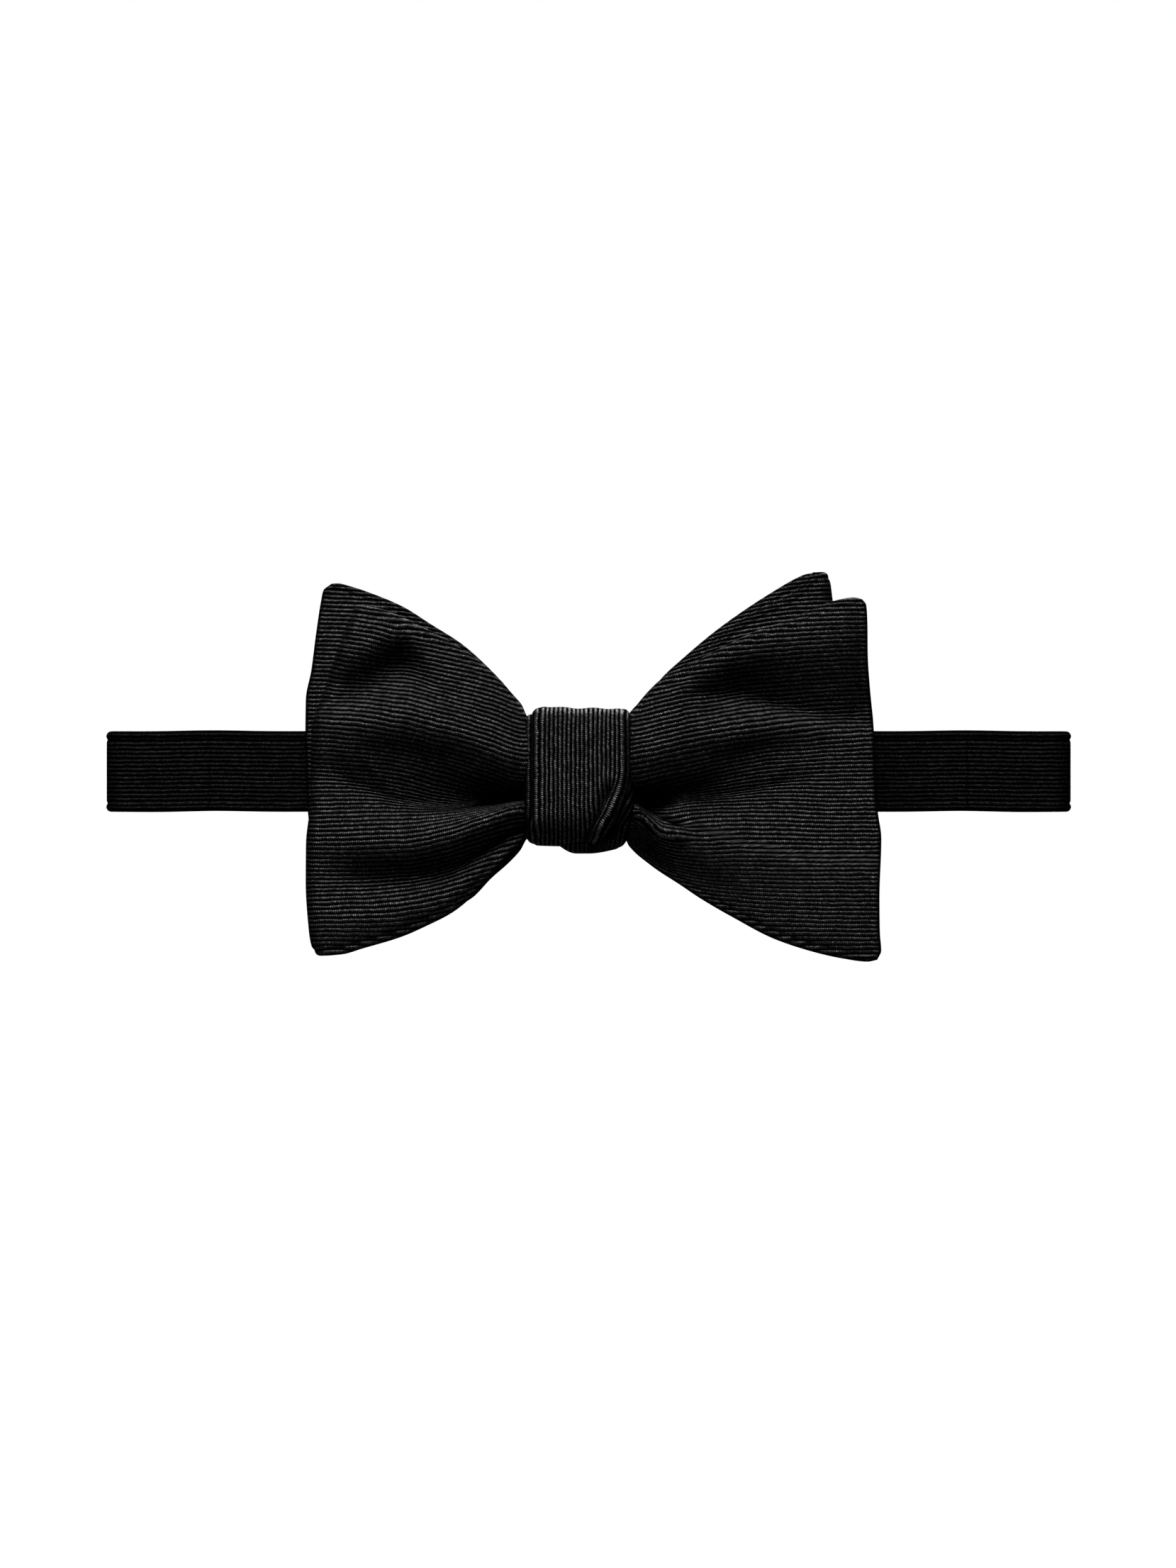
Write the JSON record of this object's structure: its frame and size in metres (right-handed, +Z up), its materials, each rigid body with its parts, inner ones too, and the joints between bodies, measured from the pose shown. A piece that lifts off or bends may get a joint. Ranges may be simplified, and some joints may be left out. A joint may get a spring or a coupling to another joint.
{
  "type": "bow tie",
  "caption": "Self-tie butterfly bow tie of black ribbed silk, tied, with an adjustable neckband that closes behind with a hook and ring.",
  "frame": {"origin": "middle of the neckband's inner face behind the knot, where the tie bears on the collar", "axes": "+Z up as worn, -Y out of the front of the knot, +X to the viewer's right"},
  "size_m": [0.1988, 0.0294, 0.079],
  "materials": {
    "wing_silk": "ribbed silk, soft sheen",
    "knot_silk": "ribbed silk, soft sheen",
    "band_silk": "ribbed silk, soft sheen",
    "interlining": "matt wool canvas",
    "thread": "twisted silk thread",
    "clasp_metal": "nickel plated, satin"
  },
  "bodies": {
    "knot": {"front_band": "band_silk", "front_band_interlining": "interlining", "knot_wrap_face": "knot_silk", "knot_wrap_interlining": "interlining", "knot_wrap_lining": "knot_silk", "knot_under_turn": "knot_silk", "front_waist": "wing_silk", "back_waist": "wing_silk"},
    "left_front_wing": {"front_loop_face": "wing_silk", "front_loop_interlining": "interlining", "front_loop_lining": "wing_silk"},
    "left_back_wing": {"back_end_face": "wing_silk", "back_end_interlining": "interlining", "back_end_lining": "wing_silk"},
    "right_front_wing": {"front_end_face": "wing_silk", "front_end_interlining": "interlining", "front_end_lining": "wing_silk"},
    "right_back_wing": {"back_loop_face": "wing_silk", "back_loop_interlining": "interlining", "back_loop_lining": "wing_silk"},
    "left_front": {"left_front_band": "band_silk", "left_front_band_interlining": "interlining"},
    "left_side": {"left_side_band": "band_silk", "left_side_band_interlining": "interlining"},
    "left_fold": {"left_fold_band": "band_silk", "left_fold_band_interlining": "interlining"},
    "left_rear": {"left_rear_band": "band_silk", "left_rear_band_interlining": "interlining"},
    "left_nape": {"left_nape_band": "band_silk", "left_nape_band_interlining": "interlining", "left_nape_tail": "band_silk"},
    "right_front": {"right_front_band": "band_silk", "right_front_band_interlining": "interlining"},
    "right_side": {"right_side_band": "band_silk", "right_side_band_interlining": "interlining"},
    "right_fold": {"right_fold_band": "band_silk", "right_fold_band_interlining": "interlining"},
    "right_rear": {"right_rear_band": "band_silk", "right_rear_band_interlining": "interlining"},
    "right_nape": {"right_nape_band": "band_silk", "right_nape_band_interlining": "interlining"},
    "hook_end": {"hook_end_band": "band_silk", "hook_end_band_interlining": "interlining", "hook_end_tail": "band_silk", "hook_loop": "band_silk", "hook_bartack": "thread"},
    "ring_end": {"ring_end_band": "band_silk", "ring_end_band_interlining": "interlining", "ring_loop": "band_silk", "ring_bartack": "thread", "clasp_ring": "clasp_metal"},
    "hook": {"clasp_hook": "clasp_metal"},
    "slider": {"slider_frame": "clasp_metal", "slider_bight": "band_silk"}
  },
  "joints": [
    {"name": "left_front_bend", "type": "hinge", "parent": "knot", "child": "left_front", "pos_m": [-0.026, -0.0009, 0], "axis": [0, 0, -1], "range_deg": [0, 36]},
    {"name": "left_side_bend", "type": "hinge", "parent": "left_front", "child": "left_side", "pos_m": [-0.061, -0.0009, 0], "axis": [0, 0, -1], "range_deg": [0, 36]},
    {"name": "left_fold_bend", "type": "hinge", "parent": "left_side", "child": "left_fold", "pos_m": [-0.09745, 0.00015, 0], "axis": [0, 0, -1], "range_deg": [-72, 0]},
    {"name": "left_rear_bend", "type": "hinge", "parent": "left_fold", "child": "left_rear", "pos_m": [-0.09745, 0.00525, 0], "axis": [0, 0, -1], "range_deg": [-72, 0]},
    {"name": "left_nape_bend", "type": "hinge", "parent": "left_rear", "child": "left_nape", "pos_m": [-0.061, 0.0063, 0], "axis": [0, 0, -1], "range_deg": [0, 36]},
    {"name": "hook_end_bend", "type": "hinge", "parent": "left_nape", "child": "hook_end", "pos_m": [-0.026, 0.0063, 0], "axis": [0, 0, -1], "range_deg": [0, 36]},
    {"name": "right_front_bend", "type": "hinge", "parent": "knot", "child": "right_front", "pos_m": [0.026, -0.0009, 0], "axis": [0, 0, 1], "range_deg": [0, 36]},
    {"name": "right_side_bend", "type": "hinge", "parent": "right_front", "child": "right_side", "pos_m": [0.061, -0.0009, 0], "axis": [0, 0, 1], "range_deg": [0, 36]},
    {"name": "right_fold_bend", "type": "hinge", "parent": "right_side", "child": "right_fold", "pos_m": [0.09745, 0.00015, 0], "axis": [0, 0, 1], "range_deg": [-72, 0]},
    {"name": "right_rear_bend", "type": "hinge", "parent": "right_fold", "child": "right_rear", "pos_m": [0.09745, 0.00525, 0], "axis": [0, 0, 1], "range_deg": [-72, 0]},
    {"name": "right_nape_bend", "type": "hinge", "parent": "right_rear", "child": "right_nape", "pos_m": [0.061, 0.0063, 0], "axis": [0, 0, 1], "range_deg": [0, 36]},
    {"name": "ring_end_bend", "type": "hinge", "parent": "right_nape", "child": "ring_end", "pos_m": [0.026, 0.0063, 0], "axis": [0, 0, 1], "range_deg": [0, 36]},
    {"name": "left_front_wing_flex", "type": "hinge", "parent": "knot", "child": "left_front_wing", "pos_m": [-0.0135, -0.0145, 0], "axis": [0, 0, 1], "range_deg": [0, 20]},
    {"name": "left_back_wing_flex", "type": "hinge", "parent": "knot", "child": "left_back_wing", "pos_m": [-0.0135, -0.0062, 0], "axis": [0, 0, 1], "range_deg": [0, 12]},
    {"name": "right_front_wing_flex", "type": "hinge", "parent": "knot", "child": "right_front_wing", "pos_m": [0.0089, -0.0148, 0], "axis": [0, 0, -1], "range_deg": [0, 20]},
    {"name": "right_back_wing_flex", "type": "hinge", "parent": "knot", "child": "right_back_wing", "pos_m": [0.0089, -0.0096, 0], "axis": [0, 0, -1], "range_deg": [0, 12]},
    {"name": "hook_release", "type": "slide", "parent": "hook_end", "child": "hook", "axis": [1, 0, 0], "range_m": [0, 0.0045]},
    {"name": "slider_slide", "type": "slide", "parent": "left_nape", "child": "slider", "axis": [1, 0, 0], "range_m": [-0.004, 0.01]}
  ],
  "couplings": [
    {"joint": "left_side_bend", "follows": "left_front_bend", "ratio": 1},
    {"joint": "left_fold_bend", "follows": "left_front_bend", "ratio": -2},
    {"joint": "left_rear_bend", "follows": "left_front_bend", "ratio": -2},
    {"joint": "left_nape_bend", "follows": "left_front_bend", "ratio": 1},
    {"joint": "hook_end_bend", "follows": "left_front_bend", "ratio": 1},
    {"joint": "right_front_bend", "follows": "left_front_bend", "ratio": 1},
    {"joint": "right_side_bend", "follows": "left_front_bend", "ratio": 1},
    {"joint": "right_fold_bend", "follows": "left_front_bend", "ratio": -2},
    {"joint": "right_rear_bend", "follows": "left_front_bend", "ratio": -2},
    {"joint": "right_nape_bend", "follows": "left_front_bend", "ratio": 1},
    {"joint": "ring_end_bend", "follows": "left_front_bend", "ratio": 1},
    {"joint": "left_back_wing_flex", "follows": "left_front_wing_flex", "ratio": 0.6},
    {"joint": "right_back_wing_flex", "follows": "right_front_wing_flex", "ratio": 0.6}
  ]
}
